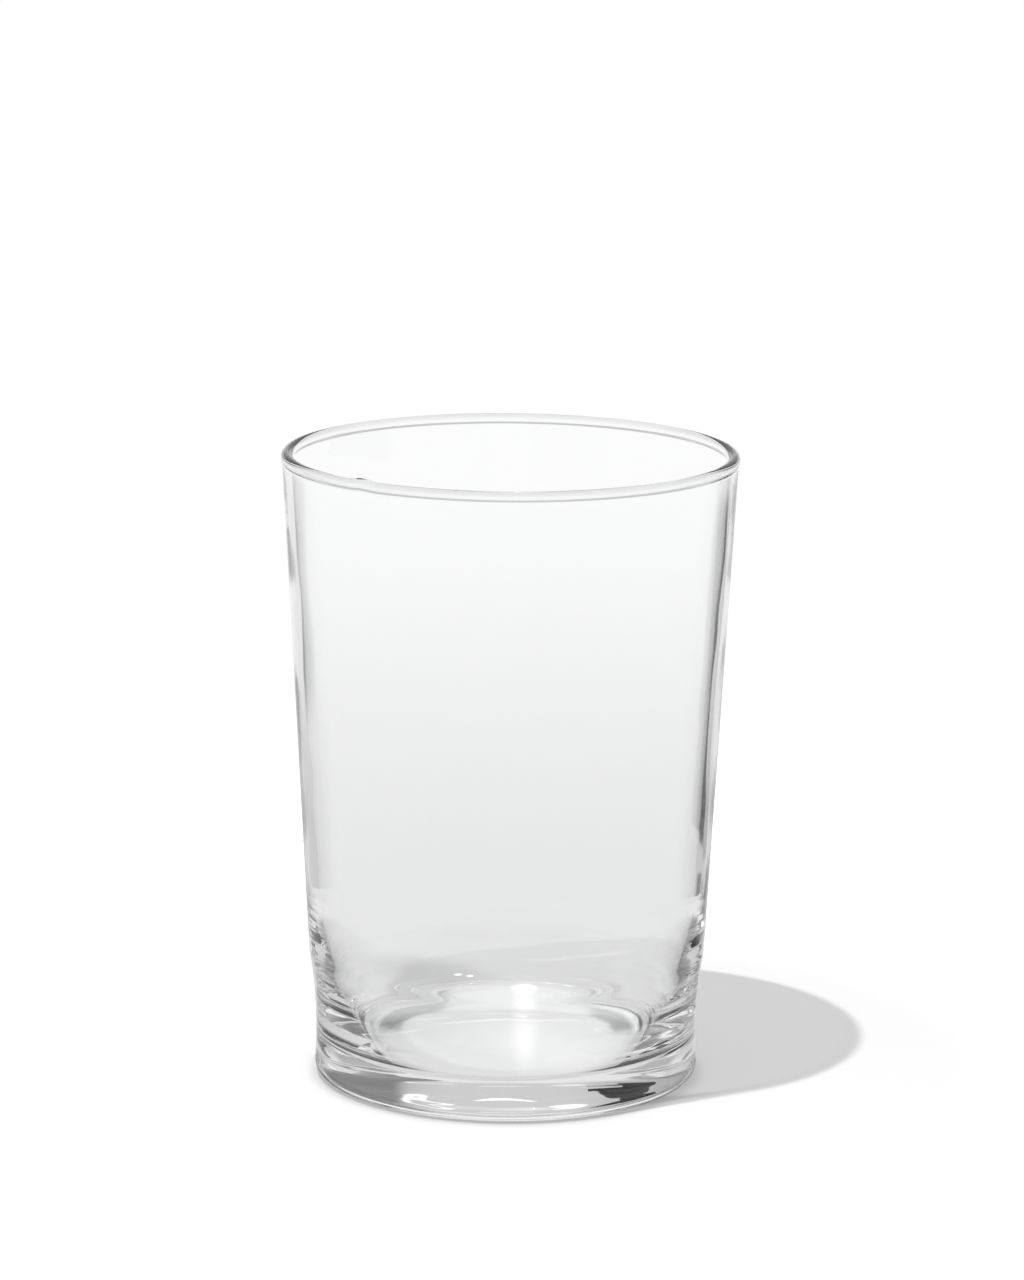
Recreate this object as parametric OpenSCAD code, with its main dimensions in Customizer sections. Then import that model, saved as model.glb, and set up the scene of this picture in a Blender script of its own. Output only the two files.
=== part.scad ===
// Juice glass: a tapered tumbler of clear glass with a thick base, made as one piece.
// The outline is drawn in the r-z plane and turned about Z.
// Origin: centre of the ring that the glass stands on. Millimetres, degrees.

/* [Overall] */
// Height from the table to the top of the rim
height = 100; // [80:1:130]
// Outside diameter of the rim bead
rim_d = 71.5; // [66:0.5:90]
// Diameter at the table if the wall ran down to it with no heel
base_d = 60.4; // [50:0.2:64]

/* [Rim] */
// Diameter of the fire-polished bead
bead_d = 1.9; // [1.7:0.05:2.6]
// How far the bead stands out past the wall
bead_proud = 0.14; // [0.05:0.01:0.3]

/* [Wall] */
// Wall thickness under the bead, measured level
wall_top = 1.5; // [1.2:0.05:1.6]
// Wall thickness at the waist if the wall had no waist, measured level
wall_low = 2.2; // [1.8:0.1:3.2]

/* [Waist and heel] */
// Height of the deepest part of the waist
waist_z = 11; // [9:0.5:16]
// How deep the waist is pressed into the wall
waist_depth = 0.55; // [0.2:0.05:0.9]
// Radius of the waist's hollow, seen in section
waist_r = 75; // [40:1:120]
// Radius of the heel
heel_r = 2; // [1:0.1:3]

/* [Inside bottom] */
// Glass thickness at the middle of the base
floor_t = 5.9; // [5:0.1:8]
// Height of the lowest ring of the inside, round the domed floor
ring_z = 5.3; // [4.6:0.1:6]
// Radius between the curved foot of the inner wall and the domed floor
corner_r = 2.5; // [1.5:0.1:4]
// Height at which the inner wall starts to curve in
belly_z = 29; // [22:1:36]
// Radius of that curve, seen in section
belly_r = 80; // [60:1:130]

/* [Underside] */
// Diameter of the hollow in the underside
kick_d = 48; // [40:1:50]
// Depth of the hollow in the underside
kick_h = 2.1; // [1:0.1:2.6]

/* [Hidden] */
$fn = 180;

// How far a curve reaches past the one it runs on from, so that the two cross instead of only touching
lap = 0.001;

// Rim bead: centre of its round section
bead_r = bead_d / 2;
bead_c = [rim_d / 2 - bead_r, height - bead_r];

// Outer wall: a straight cone from the table to the middle of the bead
wall_slope = (rim_d / 2 - bead_proud - base_d / 2) / bead_c.y;
wall_a = atan(wall_slope);
function outer_r(z) = base_d / 2 + wall_slope * z;

// Inner wall: a straight cone set by the thickness at the waist and under the bead
bore_low = outer_r(waist_z) - wall_low;
bore_top = outer_r(bead_c.y) - wall_top;
bore_slope = (bore_top - bore_low) / (bead_c.y - waist_z);
bore_a = atan(bore_slope);
function bore_r(z) = bore_low + bore_slope * (z - waist_z);

// Heel: its round section touches the table and the outer wall
heel_c = [outer_r(heel_r) - heel_r / cos(wall_a), heel_r];

// Foot of the inner wall: a slow curve whose section runs on from the straight wall
belly_c = [bore_r(belly_z) - belly_r * cos(bore_a), belly_z + belly_r * sin(bore_a)];

// Inner corner: its round section touches that curve and is lowest at the ring
corner_z = ring_z + corner_r;
corner_c = [belly_c.x + sqrt(pow(belly_r - corner_r, 2) - pow(corner_z - belly_c.y, 2)), corner_z];

// Inner floor: a dome on the axis, whose section touches the corner's from below
floor_z = kick_h + floor_t;
dome_r = (pow(corner_c.x, 2) + pow(corner_c.y - floor_z, 2) - pow(corner_r, 2)) / (2 * (floor_z - ring_z));
dome_c = [0, floor_z - dome_r];

// Points where the corner's section meets the curved foot and the dome
corner_belly = belly_c + (corner_c - belly_c) * belly_r / (belly_r - corner_r);
corner_dome = dome_c + (corner_c - dome_c) * dome_r / (dome_r + corner_r);

// Underside: radius of the cap that leaves a hollow of the given width and depth
kick_r = (pow(kick_d / 2, 2) + pow(kick_h, 2)) / (2 * kick_h);

// Outline of the glass from the table to the middle of the bead, before it is hollowed
module body_outline() {
    difference() {
        union() {
            polygon([
                [0, 0],
                [heel_c.x, 0],
                heel_c + heel_r * [cos(wall_a), -sin(wall_a)],
                [outer_r(bead_c.y), bead_c.y],
                [0, bead_c.y]
            ]);
            translate(heel_c) circle(heel_r);
        }
        // Shallow waist pressed in above the base
        translate([outer_r(waist_z) - waist_depth + waist_r, waist_z]) circle(waist_r);
    }
}

// Outline of the space inside the glass
module bore_outline() {
    difference() {
        union() {
            polygon([
                [0, corner_dome.y],
                corner_dome,
                corner_belly,
                [bore_r(belly_z), belly_z],
                [bore_r(height), height],
                [0, height]
            ]);
            translate(corner_c) circle(corner_r + 2 * lap);
            // Curved foot of the inner wall
            intersection() {
                translate(belly_c) circle(belly_r + lap);
                translate([0, corner_belly.y]) square([rim_d / 2, height / 2 - corner_belly.y]);
            }
        }
        translate(dome_c) circle(dome_r);
    }
}

// Outline of the hollow under the base
module kick_outline() {
    translate([0, kick_h - kick_r]) circle(kick_r);
}

// The glass
module tumbler() {
    color([0.93, 0.96, 0.96, 0.35])
    rotate_extrude() {
        difference() {
            body_outline();
            bore_outline();
            kick_outline();
        }
        // The bead rounds off the top of the wall
        translate(bead_c) circle(bead_r);
    }
}

tumbler();
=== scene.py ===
"""Juice glass: a clear tumbler turned from its section, on a white table in studio light."""

import math

import bpy
from mathutils import Matrix, Vector


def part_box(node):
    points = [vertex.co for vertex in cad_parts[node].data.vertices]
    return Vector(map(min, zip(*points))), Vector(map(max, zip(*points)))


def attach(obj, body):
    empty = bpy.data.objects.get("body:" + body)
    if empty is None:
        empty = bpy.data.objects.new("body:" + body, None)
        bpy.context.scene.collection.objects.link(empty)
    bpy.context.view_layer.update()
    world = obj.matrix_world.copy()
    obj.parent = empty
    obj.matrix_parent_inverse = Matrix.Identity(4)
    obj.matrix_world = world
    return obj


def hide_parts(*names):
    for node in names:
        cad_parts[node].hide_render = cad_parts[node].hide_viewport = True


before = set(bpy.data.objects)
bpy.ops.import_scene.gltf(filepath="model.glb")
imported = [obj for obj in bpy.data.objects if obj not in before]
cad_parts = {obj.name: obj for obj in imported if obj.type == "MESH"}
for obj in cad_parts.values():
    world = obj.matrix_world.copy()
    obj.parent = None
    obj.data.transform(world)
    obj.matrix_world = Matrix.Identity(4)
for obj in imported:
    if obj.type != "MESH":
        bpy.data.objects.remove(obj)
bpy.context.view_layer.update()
LOW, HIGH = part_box("tumbler")

# The section's points lie closest below this height, and within this much of the bead's middle
FOOT_TOP = 0.024
RIM_ZONE = 0.003
# How many steps each stretch of the section is drawn in
STEPS = {
    "kick": 22,
    "ring": 6,
    "heel": 16,
    "foot": 44,
    "wall": 32,
    "rim": 24,
    "bead": 28,
    "bore": 30,
    "belly": 36,
    "corner": 30,
    "dome": 22,
}
# How closely the ripple's waves and the handling marks follow each other
RIPPLE_SCALE = 90.0
MARKS_SCALE = 70.0

# How many surfaces light has met when it comes through the wall's edges, or through the base
SEEN_IN = {"edges": (1, 3), "base": (5, 99)}
# Painted caustic light, glints and shade on the table, which the glass shows, laid one over the other:
# tone, x and y of the middle, half the width and the depth, and how soft the edge is
PAINTED_CAUSTICS = {
    "shade behind, on the left": (0.60, -0.015, 0.033, 0.011, 0.010, 0.6),
    "disc under the floor": (0.92, 0.0, 0.0, 0.0215, 0.0215, 0.06),
    "brighter disc inside it": (1.05, 0.0005, 0.002, 0.0170, 0.0170, 0.05),
    "glow on the right": (1.14, 0.010, 0.0, 0.010, 0.015, 0.5),
    "glow behind the middle": (1.20, 0.003, 0.010, 0.008, 0.014, 0.7),
    "streak in the glow": (1.50, 0.003, 0.006, 0.0016, 0.014, 0.9),
    "star behind the streak": (3.50, 0.003, 0.0195, 0.0014, 0.0016, 0.9),
    "first sparkle on the left": (2.50, -0.0090, 0.0340, 0.0006, 0.0009, 0.9),
    "second sparkle on the left": (2.50, -0.0066, 0.0325, 0.0005, 0.0008, 0.9),
    "first sparkle on the right": (2.20, 0.0072, 0.0250, 0.0009, 0.0006, 0.9),
    "second sparkle on the right": (2.20, 0.0105, 0.0225, 0.0008, 0.0006, 0.9),
}
# Painted shade on the table that only the wall's edges show, in the same order
PAINTED_EDGE_SHADES = {
    "left": (0.15, -0.064, 0.016, 0.027, 0.030, 0.3),
    "right": (0.12, 0.066, 0.030, 0.027, 0.030, 0.3),
}
# Bright ovals on cards: middle in degrees, height, half the width in degrees, half the height,
# and the share that is left clear inside
LIGHTS = {
    "light_left": (15.2, 0.1045, 6.8, 0.0090, 0.7),
    "light_mid": (0.0, 0.0872, 6.2, 0.0050, 0.0),
    "light_right": (-12.3, 0.1065, 4.8, 0.0080, 0.0),
}
# The radius that cards are bent to: the lights stand just inside the dark cards
CARD_RADIUS = 0.3
LIGHT_RADIUS = 0.299
PANEL_RADIUS = 0.115
PANEL_TOP = 0.082
BLACK = (0.0, 0.0, 0.0, 1.0)
GREY = (0.22, 0.22, 0.22, 1.0)
BRIGHT = (1.2, 1.2, 1.2, 1.0)
CLEAR = (1.0, 1.0, 1.0, 1.0)

bl_info = {
    "name": "Juice Glass",
    "version": (1, 0, 0),
    "blender": (4, 5, 0),
    "location": "3D View > Sidebar > Juice Glass",
    "description": "Turns a clear glass tumbler from its section and sets it on a lit table",
    "category": "Object",
}


def length(name, about, default):
    """A length in metres that a user may change."""
    return bpy.props.FloatProperty(
        name=name, description=about, default=default, precision=5, unit="LENGTH"
    )


def number(name, about, default, low=0.0, high=1.0):
    """A plain number that a user may change."""
    return bpy.props.FloatProperty(
        name=name, description=about, default=default, min=low, max=high, precision=4
    )


def angle(name, about, degrees):
    """An angle that a user may change."""
    return bpy.props.FloatProperty(
        name=name, description=about, default=math.radians(degrees), unit="ROTATION"
    )


def place(name, about, default):
    """A point in metres that a user may change."""
    return bpy.props.FloatVectorProperty(
        name=name, description=about, default=default, size=3, precision=4, subtype="TRANSLATION"
    )


def colour(name, about, default):
    """A colour that a user may change."""
    return bpy.props.FloatVectorProperty(
        name=name, description=about, default=default, size=3, min=0.0, max=1.0, subtype="COLOR"
    )


def count(name, about, default):
    """A whole number that a user may change."""
    return bpy.props.IntProperty(name=name, description=about, default=default, min=1)


class TumblerSizes(bpy.types.PropertyGroup):
    """The glass's section, as its maker would draw it."""

    height: length("Height", "From the table to the top of the rim", HIGH.z)
    rim: length("Rim", "Outside diameter of the rim bead", HIGH.x - LOW.x)
    base: length("Base", "Diameter at the table if the wall ran down to it", 0.0604)
    bead: length("Bead", "Diameter of the fire-polished bead", 0.0019)
    proud: length("Bead proud", "How far the bead stands out past the wall", 0.00014)
    wall_top: length("Wall at the rim", "Wall thickness under the bead", 0.0015)
    wall_low: length("Wall at the waist", "Wall thickness at the waist", 0.0022)
    waist_z: length("Waist height", "Height of the deepest part of the waist", 0.011)
    waist_depth: length("Waist depth", "How deep the waist is pressed in", 0.00055)
    waist_round: length("Waist radius", "Radius of the waist's hollow, in section", 0.075)
    heel: length("Heel", "Radius of the heel", 0.002)
    floor: length("Floor", "Glass thickness at the middle of the base", 0.0059)
    ring: length("Ring", "Height of the lowest ring inside, round the domed floor", 0.0053)
    belly_z: length("Belly height", "Where the inner wall starts to curve in", 0.029)
    belly: length("Belly", "Radius of that curve, in section", 0.08)
    corner: length("Corner", "Radius between the curved wall and the domed floor", 0.0025)
    kick: length("Kick", "Diameter of the hollow in the underside", 0.048)
    kick_depth: length("Kick depth", "Depth of the hollow in the underside", 0.0021)
    ease: length("Ease", "How softly one surface runs into the next", 0.00006)
    swelling_at: place("Swelling", "Middle of the slight swelling in the rim", (-0.0222, -0.0266, 0.1004))
    swelling_width: length("Swelling width", "How far the swelling reaches", 0.0036)
    swelling_height: length("Swelling height", "How high the swelling stands", 0.00036)
    steps: count("Steps", "Steps round the glass", 300)


class TumblerFinish(bpy.types.PropertyGroup):
    """What the glass looks like."""

    tint: colour("Tint", "Colour of light that passes a surface", (0.988, 0.99, 0.992))
    bend: number("Bend", "Index of refraction", 1.52, 1.0, 2.0)
    haze: number("Haze", "Roughness of the cleanest glass", 0.0)
    smudge: number("Smudge", "Roughness added where the glass was handled", 0.02)
    ripple: length("Ripple", "Height of the waves left by the mould", 0.00003)
    shade: number("Shade", "Share of lamp light that each surface lets through", 0.70)


class StageLook(bpy.types.PropertyGroup):
    """The table, the lamp, the even light and the camera."""

    eye: place("Eye", "Where the camera stands", (0.000456, -0.8242, 0.24619))
    lens: number("Lens", "Focal length in millimetres", 151.13, 10.0, 400.0)
    tilt: angle("Tilt", "How far the camera looks down", 12.075)
    roll: angle("Roll", "How far the camera leans", 0.496)
    lamp: place("Lamp", "Where the key lamp hangs", (-0.1676, -0.2044, 1.0))
    lamp_size: length("Lamp size", "Radius of the key lamp", 0.009)
    lamp_power: number("Lamp power", "Power of the key lamp in watts", 34.5, 0.0, 500.0)
    fill: number("Fill", "Strength of the even light from all round", 0.14, 0.0, 2.0)
    room: number("Room", "Brightness of the room's sides as the glass shows them", 0.42, 0.0, 2.0)
    back: number("Back", "Brightness of the room behind the glass", 0.6, 0.0, 2.0)
    front: number("Front", "Brightness of the room behind the camera", 0.64, 0.0, 2.0)
    above: number("Above", "Brightness overhead as the glass shows it", 0.88, 0.0, 2.0)
    table: number("Table", "Lightness of the table", 0.86)
    # Share of the painted caustic light and shade in the table's tone seen through the glass
    painted_caustic_share: number("Gathered", "Share of the gathered light in the table seen through the glass", 0.8)
    glow: number("Glow", "Light added to the table near the glass in the picture", 0.235, 0.0, 2.0)
    far: number("Far table", "Brightness of the table away from the glass", 0.985, 0.0, 2.0)


class Value:
    """A shader socket that takes part in Python expressions."""

    def __init__(self, tree, socket):
        self.tree = tree
        self.socket = socket

    def math(self, operation, *others, first=None):
        node = self.tree.nodes.new("ShaderNodeMath")
        node.operation = operation
        for slot, item in zip(node.inputs, [self if first is None else first, *others]):
            connect(self.tree, item, slot)
        return Value(self.tree, node.outputs[0])

    def __add__(self, other):
        return self.math("ADD", other)

    __radd__ = __add__

    def __mul__(self, other):
        return self.math("MULTIPLY", other)

    __rmul__ = __mul__

    def __sub__(self, other):
        return self.math("SUBTRACT", other)

    def __rsub__(self, other):
        return self.math("SUBTRACT", self, first=other)

    def __truediv__(self, other):
        return self.math("DIVIDE", other)

    def __rtruediv__(self, other):
        return self.math("DIVIDE", self, first=other)

    def highest(self, other):
        return self.math("MAXIMUM", other)


def connect(tree, item, socket):
    """Links a Value to a socket, or sets the socket to a plain value."""
    if isinstance(item, Value):
        tree.links.new(item.socket, socket)
    elif item is not None:
        socket.default_value = item


class Nodes:
    """A node tree that hands out its nodes by type."""

    def __init__(self, tree):
        self.tree = tree
        tree.nodes.clear()

    def node(self, kind, settings=None, **sockets):
        """One node: its settings first, then its sockets by name, as values or links."""
        made = self.tree.nodes.new(kind)
        for key, item in (settings or {}).items():
            setattr(made, key, item)
        for key, item in sockets.items():
            connect(self.tree, item, self.socket(made.inputs, key))
        return made

    def socket(self, sockets, key):
        """A socket by its plain name, or its place among the sockets."""
        if key.startswith("in_"):
            return sockets[int(key[3:])]
        for one in sockets:
            if one.enabled and one.name.replace(" ", "_").lower() == key.lower():
                return one
        raise KeyError(key)

    def out(self, kind, output, settings=None, **sockets):
        """One node's output as a Value."""
        made = self.node(kind, settings, **sockets)
        return Value(self.tree, self.socket(made.outputs, output))


def material(name):
    """An empty node material."""
    made = bpy.data.materials.new(name)
    made.use_nodes = True
    return made, Nodes(made.node_tree)


def new_object(name, data):
    """An object in the scene, at the origin."""
    made = bpy.data.objects.new(name, data)
    bpy.context.scene.collection.objects.link(made)
    return made


def arc(centre, radius, start, end, steps):
    """Points along an arc in the section, both ends included."""
    return [
        (
            centre[0] + radius * math.cos(start + (end - start) * i / steps),
            centre[1] + radius * math.sin(start + (end - start) * i / steps),
        )
        for i in range(steps + 1)
    ]


def even(start, end, steps):
    """Even steps from start to end, without the start."""
    return [start + (end - start) * i / steps for i in range(1, steps + 1)]


def blend_high(a, b, ease):
    """The larger of two values, with the corner between them eased."""
    return (a + b + math.sqrt((a - b) ** 2 + ease**2)) / 2


def blend_low(a, b, ease):
    """The smaller of two values, with the corner between them eased."""
    return (a + b - math.sqrt((a - b) ** 2 + ease**2)) / 2


def section(s):
    """The glass's section as points (r, z).

    It runs from the middle of the underside over the heel, wall and rim to the middle of the floor."""
    bead_r = s.bead / 2
    bead = (s.rim / 2 - bead_r, s.height - bead_r)
    slope = (s.rim / 2 - s.proud - s.base / 2) / bead[1]
    lean = math.atan(slope)

    def outer(z):
        return s.base / 2 + slope * z

    bore_low = outer(s.waist_z) - s.wall_low
    bore_top = outer(bead[1]) - s.wall_top
    bore_slope = (bore_top - bore_low) / (bead[1] - s.waist_z)
    bore_lean = math.atan(bore_slope)

    def bore(z):
        return bore_low + bore_slope * (z - s.waist_z)

    def outside(z):
        cut = s.waist_depth - (z - s.waist_z) ** 2 / (2 * s.waist_round)
        wall = outer(z) - blend_high(cut, 0.0, s.ease)
        if z < bead[1] - bead_r:
            return wall
        return blend_high(wall, bead[0] + math.sqrt(bead_r**2 - (z - bead[1]) ** 2), s.ease)

    def inside(z):
        if z < bead[1] - bead_r:
            return bore(z)
        return blend_low(bore(z), bead[0] - math.sqrt(bead_r**2 - (z - bead[1]) ** 2), s.ease)

    heel = (outer(s.heel) - s.heel / math.cos(lean), s.heel)
    kick_r = ((s.kick / 2) ** 2 + s.kick_depth**2) / (2 * s.kick_depth)
    kick_half = math.asin(s.kick / 2 / kick_r)
    floor_z = s.kick_depth + s.floor

    # The belly touches the bore, the corner touches the belly and is lowest at the ring,
    # and the dome touches the corner from below
    belly_x = bore(s.belly_z) - s.belly * math.cos(bore_lean)
    belly = (belly_x, s.belly_z + s.belly * math.sin(bore_lean))
    corner_z = s.ring + s.corner
    reach = s.belly - s.corner
    corner = (belly_x + math.sqrt(reach**2 - (corner_z - belly[1]) ** 2), corner_z)
    belly_lean = math.atan2(corner_z - belly[1], corner[0] - belly_x)
    dome_r = (corner[0] ** 2 + (corner_z - floor_z) ** 2 - s.corner**2) / (2 * (floor_z - s.ring))
    dome = (0.0, floor_z - dome_r)
    dome_lean = math.atan2(corner[0], corner_z - dome[1])

    kick = (0.0, s.kick_depth - kick_r)
    rim_low = bead[1] - RIM_ZONE
    points = arc(kick, kick_r, math.pi / 2, math.pi / 2 - kick_half, STEPS["kick"])
    points += [(r, 0.0) for r in even(s.kick / 2, heel[0], STEPS["ring"])[:-1]]
    points += arc(heel, s.heel, -math.pi / 2, -lean, STEPS["heel"])
    rows = even(points[-1][1], FOOT_TOP, STEPS["foot"])
    rows += even(FOOT_TOP, rim_low, STEPS["wall"])
    rows += even(rim_low, bead[1], STEPS["rim"])[:-1]
    points += [(outside(z), z) for z in rows]
    points += arc(bead, bead_r, 0.0, math.pi, STEPS["bead"])
    rows = even(bead[1], rim_low, STEPS["rim"])
    rows += even(rim_low, s.belly_z, STEPS["bore"])[:-1]
    points += [(inside(z), z) for z in rows]
    points += arc(belly, s.belly, -bore_lean, belly_lean, STEPS["belly"])
    points += arc(corner, s.corner, belly_lean, -math.pi / 2 - dome_lean, STEPS["corner"])[1:]
    points += arc(dome, dome_r, math.pi / 2 - dome_lean, math.pi / 2, STEPS["dome"])[1:]
    return points


def turned_tree(name):
    """A node tree that turns a section about Z, ripples its surface and swells its rim at one place."""
    tree = bpy.data.node_groups.new(name, "GeometryNodeTree")
    face = tree.interface
    face.new_socket("Section", in_out="INPUT", socket_type="NodeSocketGeometry")
    face.new_socket("Steps Round", in_out="INPUT", socket_type="NodeSocketInt")
    face.new_socket("Ripple Height", in_out="INPUT", socket_type="NodeSocketFloat")
    face.new_socket("Swelling At", in_out="INPUT", socket_type="NodeSocketVector")
    face.new_socket("Swelling Width", in_out="INPUT", socket_type="NodeSocketFloat")
    face.new_socket("Swelling Height", in_out="INPUT", socket_type="NodeSocketFloat")
    face.new_socket("Glass", in_out="INPUT", socket_type="NodeSocketMaterial")
    face.new_socket("Turned", in_out="OUTPUT", socket_type="NodeSocketGeometry")
    n = Nodes(tree)
    given = n.node("NodeGroupInput")

    def take(key):
        return Value(tree, given.outputs[key])

    points = n.out("GeometryNodeAttributeDomainSize", "Point_Count", Geometry=take("Section"))
    grid = n.out(
        "GeometryNodeMeshGrid",
        "Mesh",
        Size_X=1.0,
        Size_Y=1.0,
        Vertices_X=points,
        Vertices_Y=take("Steps Round") + 1,
    )
    here = n.out("GeometryNodeInputPosition", "Position")
    parts = n.node("ShaderNodeSeparateXYZ", Vector=here)
    along = (Value(tree, parts.outputs["X"]) + 0.5) * (points - 1)
    turn = (Value(tree, parts.outputs["Y"]) + 0.5) * (2 * math.pi)
    row = n.out("ShaderNodeMath", "Value", {"operation": "ROUND"}, in_0=along)
    found = n.out(
        "GeometryNodeSampleIndex",
        "Value",
        {"data_type": "FLOAT_VECTOR", "domain": "POINT"},
        Geometry=take("Section"),
        Value=here,
        Index=row,
    )
    place_of = n.node("ShaderNodeSeparateXYZ", Vector=found)
    radius = Value(tree, place_of.outputs["X"])
    swung = n.out(
        "ShaderNodeCombineXYZ",
        "Vector",
        X=radius * turn.math("COSINE"),
        Y=radius * turn.math("SINE"),
        Z=Value(tree, place_of.outputs["Z"]),
    )
    turned = n.out("GeometryNodeSetPosition", "Geometry", Geometry=grid, Position=swung)
    closed = n.out("GeometryNodeMergeByDistance", "Geometry", Geometry=turned, Distance=1e-6)
    wave = n.out(
        "ShaderNodeTexNoise",
        "Fac",
        {"noise_dimensions": "3D"},
        Vector=here,
        Scale=RIPPLE_SCALE,
        Detail=1.0,
    )
    lift = (wave - 0.5) * take("Ripple Height") * 2.0
    outward = n.out("GeometryNodeFlipFaces", "Mesh", Mesh=closed)
    out_by = n.out(
        "ShaderNodeVectorMath",
        "Vector",
        {"operation": "SCALE"},
        Vector=n.out("GeometryNodeInputNormal", "Normal"),
        Scale=lift,
    )
    rippled = n.out("GeometryNodeSetPosition", "Geometry", Geometry=outward, Offset=out_by)
    apart = n.out(
        "ShaderNodeVectorMath", "Value", {"operation": "DISTANCE"}, in_0=here, in_1=take("Swelling At")
    )
    share = n.out(
        "ShaderNodeMapRange",
        "Result",
        {"interpolation_type": "SMOOTHERSTEP"},
        Value=apart,
        From_Min=0.0,
        From_Max=take("Swelling Width"),
        To_Min=take("Swelling Height"),
        To_Max=0.0,
    )
    raised = n.out("ShaderNodeCombineXYZ", "Vector", Z=share)
    swollen = n.out("GeometryNodeSetPosition", "Geometry", Geometry=rippled, Offset=raised)
    smooth = n.out("GeometryNodeSetShadeSmooth", "Geometry", Geometry=swollen)
    glazed = n.out("GeometryNodeSetMaterial", "Geometry", Geometry=smooth, Material=take("Glass"))
    whole = n.out("GeometryNodeRealizeInstances", "Geometry", Geometry=glazed)
    n.node("NodeGroupOutput", Turned=whole)
    return tree


def set_input(modifier, name, item):
    """Sets a Geometry Nodes modifier's input by its socket's identifier."""
    for socket in modifier.node_group.interface.items_tree:
        if socket.item_type == "SOCKET" and socket.in_out == "INPUT" and socket.name == name:
            modifier[socket.identifier] = item
            return
    raise KeyError(name)


def clear_glass(f):
    """Clear soda glass: faint handling marks, and lamps reach what is behind it."""
    made, n = material("clear_glass")
    where = n.out("ShaderNodeTexCoord", "Object")
    marks = n.out("ShaderNodeTexNoise", "Fac", Vector=where, Scale=MARKS_SCALE, Detail=3.0)
    patch = n.out("ShaderNodeMapRange", "Result", Value=marks, From_Min=0.52, From_Max=0.75)
    glass = n.out(
        "ShaderNodeBsdfPrincipled",
        "BSDF",
        Base_Color=(*f.tint, 1.0),
        Roughness=patch * f.smudge + f.haze,
        IOR=f.bend,
        Transmission_Weight=1.0,
    )
    through = n.out("ShaderNodeBsdfTransparent", "BSDF", Color=(f.shade, f.shade, f.shade, 1.0))
    path = n.node("ShaderNodeLightPath")
    mixed = n.out(
        "ShaderNodeMixShader",
        "Shader",
        Fac=Value(n.tree, path.outputs["Is Shadow Ray"]),
        in_1=glass,
        in_2=through,
    )
    n.node("ShaderNodeOutputMaterial", Surface=mixed)
    return made


class OBJECT_OT_turn_tumbler(bpy.types.Operator):
    """Turns the glass from its section and gives it its finish"""

    bl_idname = "object.turn_tumbler"
    bl_label = "Turn Tumbler"
    bl_options = {"REGISTER", "UNDO"}

    def execute(self, context):
        sizes = context.scene.tumbler_sizes
        finish = context.scene.tumbler_finish
        points = section(sizes)
        draft = bpy.data.meshes.new("section")
        draft.from_pydata(
            [(r, 0.0, z) for r, z in points],
            [(i, i + 1) for i in range(len(points) - 1)],
            [],
        )
        bench = new_object("section", draft)
        turning = bench.modifiers.new("Turned", "NODES")
        turning.node_group = turned_tree("Turned glass")
        set_input(turning, "Steps Round", sizes.steps)
        set_input(turning, "Ripple Height", finish.ripple)
        set_input(turning, "Swelling At", sizes.swelling_at)
        set_input(turning, "Swelling Width", sizes.swelling_width)
        set_input(turning, "Swelling Height", sizes.swelling_height)
        set_input(turning, "Glass", clear_glass(finish))
        ready = bench.evaluated_get(context.evaluated_depsgraph_get())
        mesh = bpy.data.meshes.new_from_object(ready)
        if not mesh.polygons:
            raise RuntimeError("the section didn't turn into a glass")
        bpy.data.objects.remove(bench)
        mesh.name = "tumbler_glass"
        glass = new_object("tumbler_glass", mesh)
        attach(glass, "root")
        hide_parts("tumbler")
        return {"FINISHED"}


def rays(n, *kinds):
    """1 for rays of the given kinds, 0 for others."""
    path = n.node("ShaderNodeLightPath")
    found = [Value(n.tree, path.outputs[f"Is {kind} Ray"]) for kind in kinds]
    total = found[0]
    for one in found[1:]:
        total = total.highest(one)
    return total


def surfaces_met(n, least, most):
    """1 for rays that have met so many surfaces of the glass: 4 is straight through both walls."""
    path = n.node("ShaderNodeLightPath")
    met = Value(n.tree, path.outputs["Ray Depth"])
    return met.math("GREATER_THAN", least - 0.5) * met.math("LESS_THAN", most + 0.5)


def ramp(n, value, low, high, start=0.0, end=1.0):
    """A smooth change from start to end while the value goes from low to high."""
    return n.out(
        "ShaderNodeMapRange",
        "Result",
        {"interpolation_type": "SMOOTHSTEP"},
        Value=value,
        From_Min=low,
        From_Max=high,
        To_Min=start,
        To_Max=end,
    )


def between(n, value, start, full, fade, end):
    """1 while the value is between full and fade, easing to 0 at start and at end."""
    return ramp(n, value, start, full) * ramp(n, value, fade, end, 1, 0)


def towards(tone, goal, share):
    """A tone that has gone a share of the way to a goal."""
    return tone + share * (goal - tone)


def bearing(n, way):
    """The angle of a place or a direction, in degrees from +Y towards +X, and its height."""
    parts = n.node("ShaderNodeSeparateXYZ", Vector=way)
    turn = Value(n.tree, parts.outputs["X"]).math("ARCTAN2", Value(n.tree, parts.outputs["Y"]))
    return turn * math.degrees(1.0), Value(n.tree, parts.outputs["Z"])


def spot(n, where, x, y, wide, deep, soft):
    """1 in an oval place on the table and 0 outside it; soft is the edge's share of the size."""
    apart = n.out(
        "ShaderNodeVectorMath", "Vector", {"operation": "SUBTRACT"}, in_0=where, in_1=(x, y, 0.0)
    )
    scaled = n.out(
        "ShaderNodeVectorMath", "Vector", {"operation": "DIVIDE"}, in_0=apart, in_1=(wide, deep, 1.0)
    )
    away = n.out("ShaderNodeVectorMath", "Value", {"operation": "LENGTH"}, in_0=scaled)
    return ramp(n, away, 1.0 - soft, 1.0 + soft, 1.0, 0.0)


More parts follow.
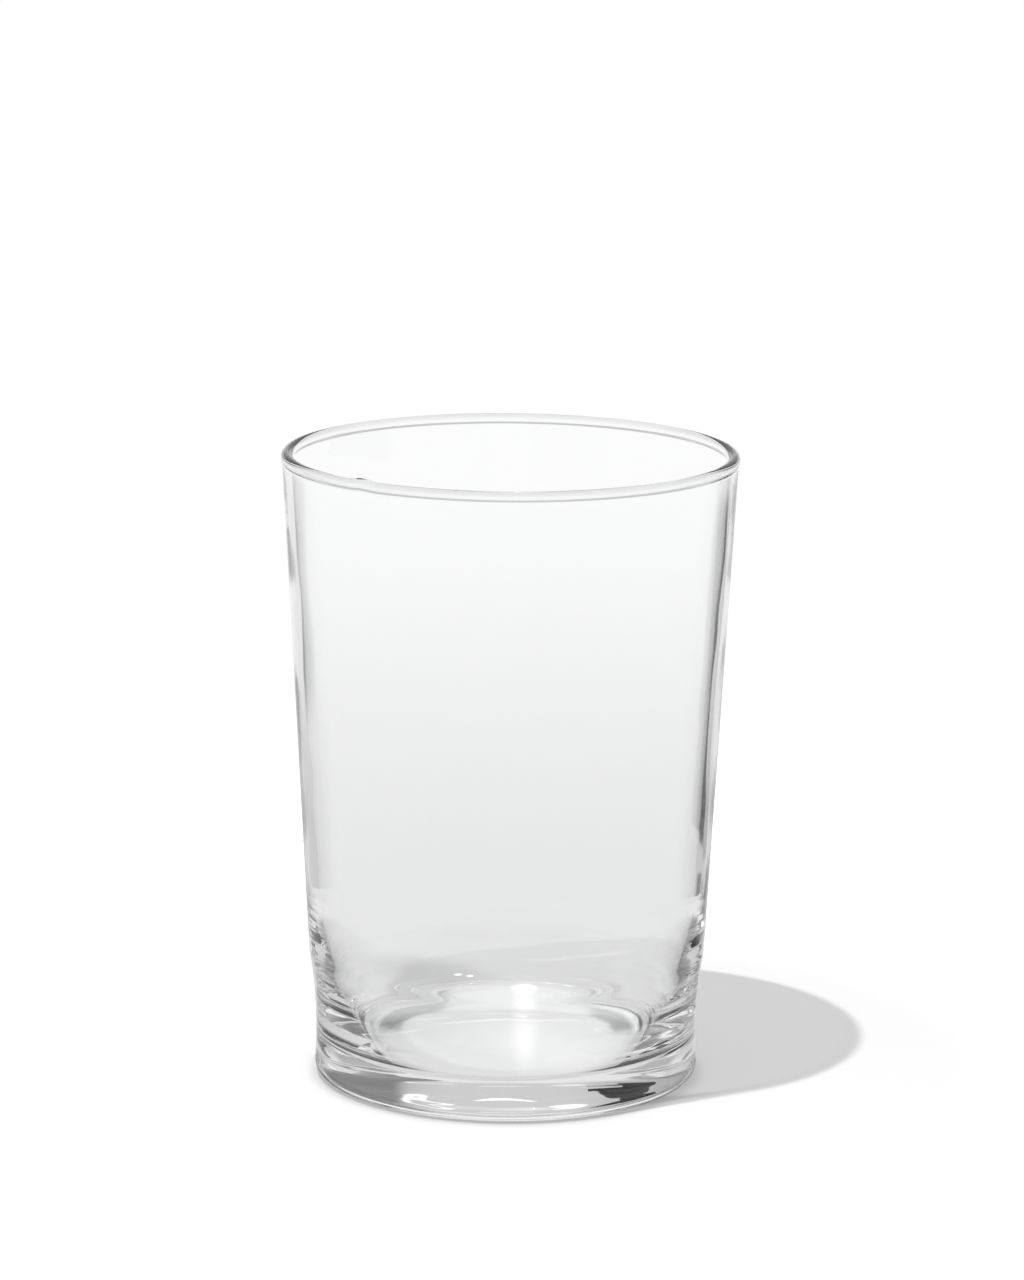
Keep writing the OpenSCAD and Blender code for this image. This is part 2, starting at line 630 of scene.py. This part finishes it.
def painted_caustic_light(n, where, away):
    """Painted caustic light and shade on the table: its tone as seen through the glass."""
    tone = ramp(n, away, 0.045, 0.08, 0.80, 0.82)
    for goal, *spread in PAINTED_CAUSTICS.values():
        tone = towards(tone, goal, spot(n, where, *spread))
    # Painted shade, which only rays through the wall's edges meet
    few = surfaces_met(n, *SEEN_IN["edges"])
    for goal, *spread in PAINTED_EDGE_SHADES.values():
        tone = towards(tone, goal, spot(n, where, *spread) * few)
    parts = n.node("ShaderNodeSeparateXYZ", Vector=where)
    right = Value(n.tree, parts.outputs["X"])
    ahead = Value(n.tree, parts.outputs["Y"])
    left = right * -1.0
    # Painted shade: two thin dark crescents either side of the painted light under the floor
    crescents = between(n, away, 0.0165, 0.0180, 0.0205, 0.0215)
    sides = ramp(n, left, 0.008, 0.011).highest(ramp(n, right, 0.012, 0.015) * 0.8)
    tone = towards(tone, 0.36, crescents * sides * ramp(n, ahead, -0.003, 0.003))
    # Painted highlight and painted shade: a bright and a dark line along the floor's edge on the right
    corner = ramp(n, right, 0.013, 0.016) * ramp(n, ahead, -0.004, 0.0)
    tone = towards(tone, 1.2, between(n, away, 0.0214, 0.0218, 0.0228, 0.0232) * corner)
    tone = towards(tone, 0.15, between(n, away, 0.0232, 0.0236, 0.0246, 0.0250) * corner)
    # Painted shade on the table under the heel, at the glass's sides
    foot = between(n, away, 0.0265, 0.0280, 0.034, 0.040)
    foot = foot * ramp(n, left.highest(right), 0.012, 0.020) * ramp(n, ahead, 0.002, 0.014, 1, 0)
    return towards(tone, 0.03, foot)


def table_top(s):
    """A white table: matt near the glass, so that it keeps the shadow, with painted contact shade at the
    glass's foot and painted caustic light and shade seen through the glass, and plain white further out.
    """
    made, n = material("white_table")
    where = n.out("ShaderNodeTexCoord", "Object")
    away = n.out("ShaderNodeVectorMath", "Value", {"operation": "LENGTH"}, in_0=where)
    # Painted contact shade: the table is darker under the glass and in a narrow ring round its foot
    painted_contact_shade = ramp(n, away, 0.0295, 0.0325, 0.65, 1.0)
    matt = n.out("ShaderNodeBsdfDiffuse", "BSDF", Color=painted_contact_shade * s.table)
    lifted = rays(n, "Camera") * ramp(n, away, 0.07, 0.13, s.glow, 0.6)
    lift = n.out("ShaderNodeEmission", "Emission", Color=lifted)
    open_air = n.out("ShaderNodeAddShader", "Shader", in_0=matt, in_1=lift)
    # Painted caustic light and shade, an emission that only glossy and transmission rays show
    gathered = n.out("ShaderNodeEmission", "Emission", Color=painted_caustic_light(n, where, away))
    in_glass = rays(n, "Glossy", "Transmission")
    near = n.out("ShaderNodeMixShader", "Shader", Fac=in_glass * s.painted_caustic_share, in_1=open_air, in_2=gathered)
    outer = rays(n, "Camera").highest(in_glass * s.far)
    white = n.out("ShaderNodeEmission", "Emission", Color=outer)
    both = n.out("ShaderNodeMixShader", "Shader", Fac=ramp(n, away, 0.04, 0.48), in_1=near, in_2=white)
    n.node("ShaderNodeOutputMaterial", Surface=both)
    return made


def black_tone(n, turn, up):
    """A black card: a low wedge at its near end, whole in the middle and cut away at its far top."""
    wedge = ramp(n, up - ramp(n, turn, 16, 25, 0.087, 0.101), -0.001, 0.001, 1, 0)
    wedge = wedge * ramp(n, up, 0.078, 0.080)
    cut = ramp(n, up - ramp(n, turn, 29, 37.5, 0.113, 0.092), -0.001, 0.001, 1, 0)
    return BLACK, wedge.highest(ramp(n, turn, 24.4, 25.0)) * cut


def oval_light(middle, level, wide, high, hollow):
    """The tones of a bright oval on a card; hollow is the share that is left clear inside."""

    def tones(n, turn, up):
        across = (turn - abs(middle)) / wide
        above = (up - level) / high
        away = (across * across + above * above).math("SQRT")
        return BRIGHT, ramp(n, away, 0.75, 1.0, 1, 0) * ramp(n, away, hollow - 0.2, hollow)

    return tones


def grey_tone(n, turn, up):
    """The grey card far to the right, lighter low down at its far end."""
    tone = ramp(n, turn, 16, 24, 0.55, 0.20)
    low = ramp(n, turn, 52, 66) * ramp(n, up, 0.11, 0.15, 1, 0)
    return towards(tone, 0.45, low), between(n, turn, 16, 24, 104, 116)


def grey_side_tone(n, turn, up):
    """The high grey card far to the left."""
    return GREY, between(n, turn, 42, 54, 100, 114)


def panel_cover(n, turn, up):
    """How much a panel covers: it fades out at both ends and at its top."""
    return between(n, turn, 33, 40, 66, 80) * ramp(n, up, 0.066, PANEL_TOP, 1, 0)


def right_tone(n, turn, up):
    """The panel on the right, lighter higher up, with a dark strip that starts again at the table."""
    tone = ramp(n, up, 0.008, 0.05, 0.52, 0.80)
    near = ramp(n, up, 0.009, 0.030, 43.5, 49) - ramp(n, up, 0.036, 0.056, 0, 4)
    far = ramp(n, up, 0.009, 0.014, 50, 64)
    rows = ramp(n, up, 0.0065, 0.0090) + ramp(n, up, 0.0030, 0.0045, 1, 0)
    strip = ramp(n, turn - near, -1, 1) * ramp(n, turn - far, -2, 2, 1, 0) * rows
    return towards(tone, ramp(n, up, 0.026, 0.05, 0.02, 0.04), strip), panel_cover(n, turn, up)


def left_tone(n, turn, up):
    """The panel on the left, lighter higher up, with a dark strip in its upper part."""
    tone = ramp(n, up, 0.008, 0.05, 0.55, 0.78)
    strip = between(n, turn, 47.5, 50, 58, 66) * ramp(n, up, 0.026, 0.040)
    return towards(tone, 0.06, strip * surfaces_met(n, 3, 3)), panel_cover(n, turn, up)


def curved_card(name, seen_in, radius, low, high, first, last, tones):
    """An upright card bent round the glass, which shows only in the wall's edges or in the base.

    Its tones and how much it covers follow the angle from +Y, without sign, and the height."""
    steps = 32
    points = []
    for i in range(steps + 1):
        turn = math.radians(first + (last - first) * i / steps)
        x = radius * math.sin(turn)
        y = radius * math.cos(turn)
        points += [(x, y, low), (x, y, high)]
    mesh = bpy.data.meshes.new(name)
    mesh.from_pydata(points, [], [(2 * i, 2 * i + 2, 2 * i + 3, 2 * i + 1) for i in range(steps)])
    made, n = material(name)
    turn, up = bearing(n, n.out("ShaderNodeTexCoord", "Object"))
    tone, cover = tones(n, turn.math("ABSOLUTE"), up)
    light = n.out("ShaderNodeEmission", "Emission", Color=tone)
    clear = n.out("ShaderNodeBsdfTransparent", "BSDF", Color=CLEAR)
    sought = surfaces_met(n, *SEEN_IN[seen_in])
    shown = n.out("ShaderNodeMixShader", "Shader", Fac=sought * cover, in_1=clear, in_2=light)
    n.node("ShaderNodeOutputMaterial", Surface=shown)
    mesh.materials.append(made)
    card = new_object(name, mesh)
    card.visible_camera = False
    card.visible_shadow = False
    card.visible_diffuse = False


def set_table(s):
    """The table, which reaches far past the picture."""
    edge = 12.0
    mesh = bpy.data.meshes.new("table")
    mesh.from_pydata(
        [(-edge, -edge, 0.0), (edge, -edge, 0.0), (edge, edge, 0.0), (-edge, edge, 0.0)],
        [],
        [(0, 1, 2, 3)],
    )
    mesh.materials.append(table_top(s))
    new_object("table", mesh)


def set_cards():
    """The dark cards and the lights that the base shows, and the panels that the wall's edges show."""
    curved_card("black_card", "base", CARD_RADIUS, 0.070, 0.130, -37.5, -16.0, black_tone)
    for name, (middle, level, wide, high, hollow) in LIGHTS.items():
        rows = (level - high, level + high)
        ends = (middle - wide, middle + wide)
        curved_card(name, "base", LIGHT_RADIUS, *rows, *ends, oval_light(middle, level, wide, high, hollow))
    curved_card("grey_card", "base", CARD_RADIUS, 0.06, 0.30, 16.0, 116.0, grey_tone)
    curved_card("grey_side", "base", CARD_RADIUS, 0.11, 0.30, -42.0, -114.0, grey_side_tone)
    curved_card("right_panel", "edges", PANEL_RADIUS, 0.0, PANEL_TOP, 34.0, 80.0, right_tone)
    curved_card("left_panel", "edges", PANEL_RADIUS, 0.0, PANEL_TOP, -34.0, -80.0, left_tone)


def set_lamp(s):
    """The key lamp, which throws the shadow."""
    lamp = bpy.data.lights.new("key", "POINT")
    lamp.energy = s.lamp_power
    lamp.shadow_soft_size = s.lamp_size
    new_object("key", lamp).location = s.lamp


def even_light(s):
    """Light from all round: white to the camera, and a room with a white horizon in the glass."""
    world = bpy.data.worlds.new("even_light")
    world.use_nodes = True
    n = Nodes(world.node_tree)
    turn, up = bearing(n, n.out("ShaderNodeTexCoord", "Generated"))
    turn = turn.math("ABSOLUTE")
    behind = ramp(n, turn, 14, 34, s.back, s.room)
    walls = behind + ramp(n, turn, 85, 180, 0.0, s.front - s.room)
    level = towards(walls, 1.0, ramp(n, up, 0.08, 0.17, 1, 0))
    room = towards(level, s.above, ramp(n, up, 0.42, 0.87))
    in_glass = rays(n, "Glossy", "Transmission")
    shown = rays(n, "Camera").highest(in_glass * room).highest(s.fill)
    sky = n.out("ShaderNodeBackground", "Background", Color=shown)
    n.node("ShaderNodeOutputWorld", Surface=sky)
    return world


def fitted_camera(s):
    """The camera, where it was fitted to the glass's outline."""
    eye = bpy.data.cameras.new("camera")
    eye.lens = s.lens
    eye.sensor_width = 36.0
    camera = new_object("camera", eye)
    camera.matrix_world = (
        Matrix.Translation(Vector(s.eye))
        @ Matrix.Rotation(math.pi / 2 - s.tilt, 4, "X")
        @ Matrix.Rotation(s.roll, 4, "Z")
    )
    return camera


class OBJECT_OT_set_stage(bpy.types.Operator):
    """Sets the table, the cards, the lamp, the even light and the camera"""

    bl_idname = "object.set_stage"
    bl_label = "Set Stage"
    bl_options = {"REGISTER", "UNDO"}

    def execute(self, context):
        scene = context.scene
        set_table(scene.stage_look)
        set_cards()
        set_lamp(scene.stage_look)
        scene.world = even_light(scene.stage_look)
        scene.camera = fitted_camera(scene.stage_look)
        scene.view_settings.view_transform = "Standard"
        # Light passes many surfaces in the thick base
        scene.cycles.max_bounces = 24
        scene.cycles.transmission_bounces = 24
        scene.cycles.glossy_bounces = 16
        scene.cycles.transparent_max_bounces = 24
        scene.cycles.caustics_reflective = False
        scene.cycles.caustics_refractive = False
        return {"FINISHED"}


class VIEW3D_PT_juice_glass(bpy.types.Panel):
    """The glass's sizes and the stage"""

    bl_idname = "VIEW3D_PT_juice_glass"
    bl_label = "Juice Glass"
    bl_space_type = "VIEW_3D"
    bl_region_type = "UI"
    bl_category = "Juice Glass"

    def draw(self, context):
        for group in (
            context.scene.tumbler_sizes,
            context.scene.tumbler_finish,
            context.scene.stage_look,
        ):
            column = self.layout.column(align=True)
            for key in group.__annotations__:
                column.prop(group, key)
        self.layout.operator(OBJECT_OT_turn_tumbler.bl_idname)
        self.layout.operator(OBJECT_OT_set_stage.bl_idname)


GROUPS = {
    "tumbler_sizes": TumblerSizes,
    "tumbler_finish": TumblerFinish,
    "stage_look": StageLook,
}
CLASSES = (
    *GROUPS.values(),
    OBJECT_OT_turn_tumbler,
    OBJECT_OT_set_stage,
    VIEW3D_PT_juice_glass,
)


def register():
    """Adds the classes and their settings to Blender."""
    for one in CLASSES:
        bpy.utils.register_class(one)
    for key, group in GROUPS.items():
        setattr(bpy.types.Scene, key, bpy.props.PointerProperty(type=group))


def unregister():
    """Takes the settings and the classes out again."""
    for key in GROUPS:
        delattr(bpy.types.Scene, key)
    for one in reversed(CLASSES):
        bpy.utils.unregister_class(one)


def main():
    """Registers the classes, sets the stage and turns the glass."""
    register()
    bpy.ops.object.set_stage()
    bpy.ops.object.turn_tumbler()


if __name__ == "__main__":
    main()
